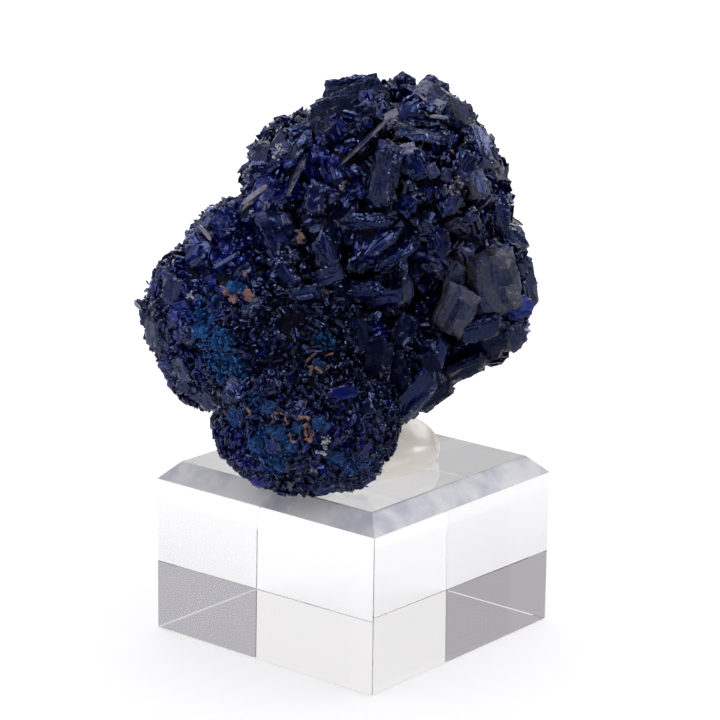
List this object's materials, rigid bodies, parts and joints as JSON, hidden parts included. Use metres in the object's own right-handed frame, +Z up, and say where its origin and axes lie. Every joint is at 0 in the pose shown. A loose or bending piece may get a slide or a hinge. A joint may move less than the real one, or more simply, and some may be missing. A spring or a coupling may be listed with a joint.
{
  "type": "azurite specimen",
  "caption": "Cluster of intergrown tabular azurite crystals, bedded in a dome of clear glue on a square clear acrylic block with a chamfered top.",
  "frame": {"origin": "the middle of the acrylic block's underside, where it stands on a shelf", "axes": "+Z up out of the block's top; X and Y square to the block's upright faces; the cluster's show face looks across the corner between the block's +X and -Y faces"},
  "size_m": [0.0471, 0.0496, 0.0806],
  "materials": {
    "azurite": "near-black indigo crystal, vitreous, with velvety azure patches and dusty faces",
    "glue": "clear glue, milky and slightly warm",
    "acrylic": "clear polished acrylic"
  },
  "bodies": {
    "root": {"azurite_cluster": "azurite", "glue_dome": "glue", "acrylic_block": "acrylic"}
  },
  "joints": []
}
